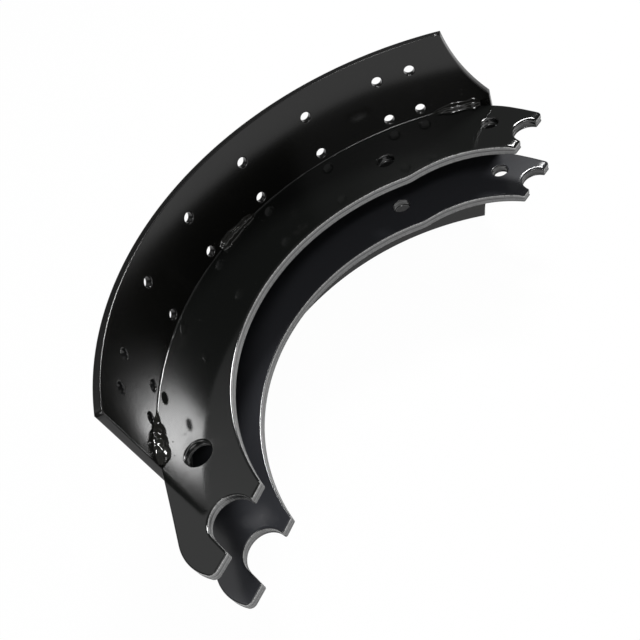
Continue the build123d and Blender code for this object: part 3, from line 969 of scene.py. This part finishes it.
# one bead with its drops and spatter; the inboard one is the mirror image, with its faces turned round
def makeBead(name, bead, side):
    grid = beadGrid(bead)
    rows, columns = grid.shape[:2]
    ends = [np.arange(columns)[None], np.arange((rows - 1) * columns, rows * columns)[None, ::-1]]
    faces = [ringFaces(rows, columns, flip=True)] + ends
    turn, inward, upward, tilt, along, across, out = np.array(bead["drops"]).T
    radii = np.stack([across, along, out], 1)
    drops = makeBalls(np.radians(turn), inward, upward, np.radians(tilt), radii, *welds["dropGrid"])
    points, normals = [grid.reshape(-1, 3)], [fillerNormals(grid).reshape(-1, 3)]
    for ballPoints, ballNormals, ballFaces in (drops, spatterBalls(bead)):
        start = sum(len(part) for part in points)
        faces += [part + start for part in ballFaces]
        points.append(ballPoints)
        normals.append(ballNormals)
    mirror = (1, 1, side)
    points, normals = np.concatenate(points) * mirror, np.concatenate(normals) * mirror
    return makeMesh(name, points, [part[:, ::side] for part in faces], normals, coats["beadEnamel"])


for weldName, bead in welds["beads"].items():
    for sideName, side in (("outboard_", 1), ("inboard_", -1)):
        standIn(makeBead(sideName + weldName + "_bead", bead, side), sideName + weldName)
print("welds laid")


studio = {
    "floorHeight": -0.0815,
    "floorSize": 6.0,
    "floorColour": (0.75, 0.75, 0.75, 1.0),
    "floorWhite": 0.98,  # share of the floor that is plain white to the eye; the rest takes the shadow
    "white": (1.0, 1.0, 1.0, 1.0),
    "room": 0.13,  # level of the room
    "windowLevel": 0.68,  # and of the soft bright patch in it
    "windowWay": (-0.18, 0.50, 0.85),
    "windowEdge": (0.86, 0.97),  # cosines of the turn from its middle, outside and inside
    "horizon": (0.04, 0.22),  # mirrored rays see white up to the first rise, and the room from the second
    "aim": (0.06, 0.09, 0.04),  # point that the lamps face
    "lamps": {
        "keyBox": {"turn": 10.8, "height": 47.8, "distance": 1.6, "size": (0.56, 0.22), "strength": 80.0},
        "frontBox": {"turn": -120.0, "height": 50.0, "distance": 1.8, "size": (0.8, 0.2), "strength": 26.0},
        "fillBox": {"turn": -107.0, "height": 43.0, "distance": 0.52, "size": (0.52, 0.46), "strength": 1.3},
    },
    "camera": {
        "place": (-0.0312, -0.2331, 0.3414),
        "right": (0.56945, -0.76928, -0.28971),
        "up": (0.73098, 0.31268, 0.60654),
        "back": (-0.37602, -0.55716, 0.74039),
        "sensor": 36.0,
        "lens": 42.7,
        "shift": (-0.0806, 0.0047),
        "clip": (0.01, 50.0),
    },
}


# 1 for a ray that comes from the camera or through something: the larger of the two
def seenDirectly(tree, ray):
    return calculate(tree, "MAXIMUM", ray.outputs["Is Camera Ray"], ray.outputs["Is Transmission Ray"])


# floor: matt and pale; to the eye and in mirrored rays nearly all plain white, with a faint shadow left
def makeFloor():
    half = studio["floorSize"] / 2
    z = studio["floorHeight"]
    corners = [(-half, -half, z), (half, -half, z), (half, half, z), (-half, half, z)]
    mesh = bpy.data.meshes.new("floor")
    mesh.from_pydata(corners, [], [(0, 1, 2, 3)])
    material = bpy.data.materials.new("whiteFloor")
    tree = emptyTree(material)
    ray = addNode(tree, "ShaderNodeLightPath")
    seen = calculate(tree, "MAXIMUM", ray.outputs["Is Glossy Ray"], seenDirectly(tree, ray))
    share = calculate(tree, "MULTIPLY", seen, studio["floorWhite"])
    matt = addNode(tree, "ShaderNodeBsdfDiffuse", {"Color": studio["floorColour"]})
    white = addNode(tree, "ShaderNodeEmission", {"Color": studio["white"], "Strength": 1.0})
    both = addNode(tree, "ShaderNodeMixShader", {0: share, 1: matt.outputs[0], 2: white.outputs[0]})
    addNode(tree, "ShaderNodeOutputMaterial", {"Surface": both.outputs[0]})
    mesh.materials.append(material)
    floor = bpy.data.objects.new("floor", mesh)
    bpy.context.scene.collection.objects.link(floor)


# world: an even dim room with one soft bright patch; white to the eye, and at the horizon in mirrored rays
def makeWorld():
    world = bpy.data.worlds.new("studioWorld")
    bpy.context.scene.world = world
    tree = emptyTree(world)
    way = addNode(tree, "ShaderNodeTexCoord").outputs["Generated"]
    rise = addNode(tree, "ShaderNodeSeparateXYZ", {"Vector": way}).outputs["Z"]
    both = {0: way, 1: Vector(studio["windowWay"]).normalized()}
    nearWindow = addNode(tree, "ShaderNodeVectorMath", both, operation="DOT_PRODUCT").outputs["Value"]
    room = mapTo(tree, nearWindow, *studio["windowEdge"], studio["room"], studio["windowLevel"])
    ray = addNode(tree, "ShaderNodeLightPath")
    atHorizon = mapTo(tree, rise, *studio["horizon"], 1.0, 0.0)
    mirrored = calculate(tree, "MULTIPLY", atHorizon, ray.outputs["Is Glossy Ray"])
    white = calculate(tree, "MAXIMUM", seenDirectly(tree, ray), mirrored)
    level = calculate(tree, "MAXIMUM", room, white)
    sky = addNode(tree, "ShaderNodeBackground", {"Color": studio["white"], "Strength": level})
    addNode(tree, "ShaderNodeOutputWorld", {"Surface": sky.outputs[0]})


# a soft oval lamp in a given direction from the aim (turn from +X, height above level), and facing it; its
# watts are strength x pi x the oval's area, pi / 4 x width x depth
def addSoftbox(name, turn, height, distance, size, strength):
    lamp = bpy.data.lights.new(name, "AREA")
    lamp.shape = "ELLIPSE"
    lamp.size, lamp.size_y = size
    lamp.energy = strength * math.pi * size[0] * size[1] * math.pi / 4
    lampObject = bpy.data.objects.new(name, lamp)
    a, e = math.radians(turn), math.radians(height)
    way = Vector((math.cos(e) * math.cos(a), math.cos(e) * math.sin(a), math.sin(e)))
    turned = way.to_track_quat("Z", "Y").to_matrix().to_4x4()
    lampObject.matrix_world = Matrix.Translation(Vector(studio["aim"]) + way * distance) @ turned
    lampObject.visible_camera = False
    bpy.context.scene.collection.objects.link(lampObject)


# camera: its place and its right, up and back directions, in the part's frame
def makeCamera(place, right, up, back, sensor, lens, shift, clip):
    camera = bpy.data.cameras.new("camera")
    camera.sensor_width = sensor
    camera.sensor_fit = "HORIZONTAL"
    camera.lens = lens
    camera.shift_x, camera.shift_y = shift
    camera.clip_start, camera.clip_end = clip
    cameraObject = bpy.data.objects.new("camera", camera)
    turned = Matrix((right, up, back)).transposed().to_4x4()
    cameraObject.matrix_world = Matrix.Translation(Vector(place)) @ turned
    bpy.context.scene.collection.objects.link(cameraObject)
    bpy.context.scene.camera = cameraObject


makeFloor()
makeWorld()
for lampName, lamp in studio["lamps"].items():
    addSoftbox(lampName, **lamp)
makeCamera(**studio["camera"])
bpy.context.scene.view_settings.view_transform = "Standard"
print("studio set")
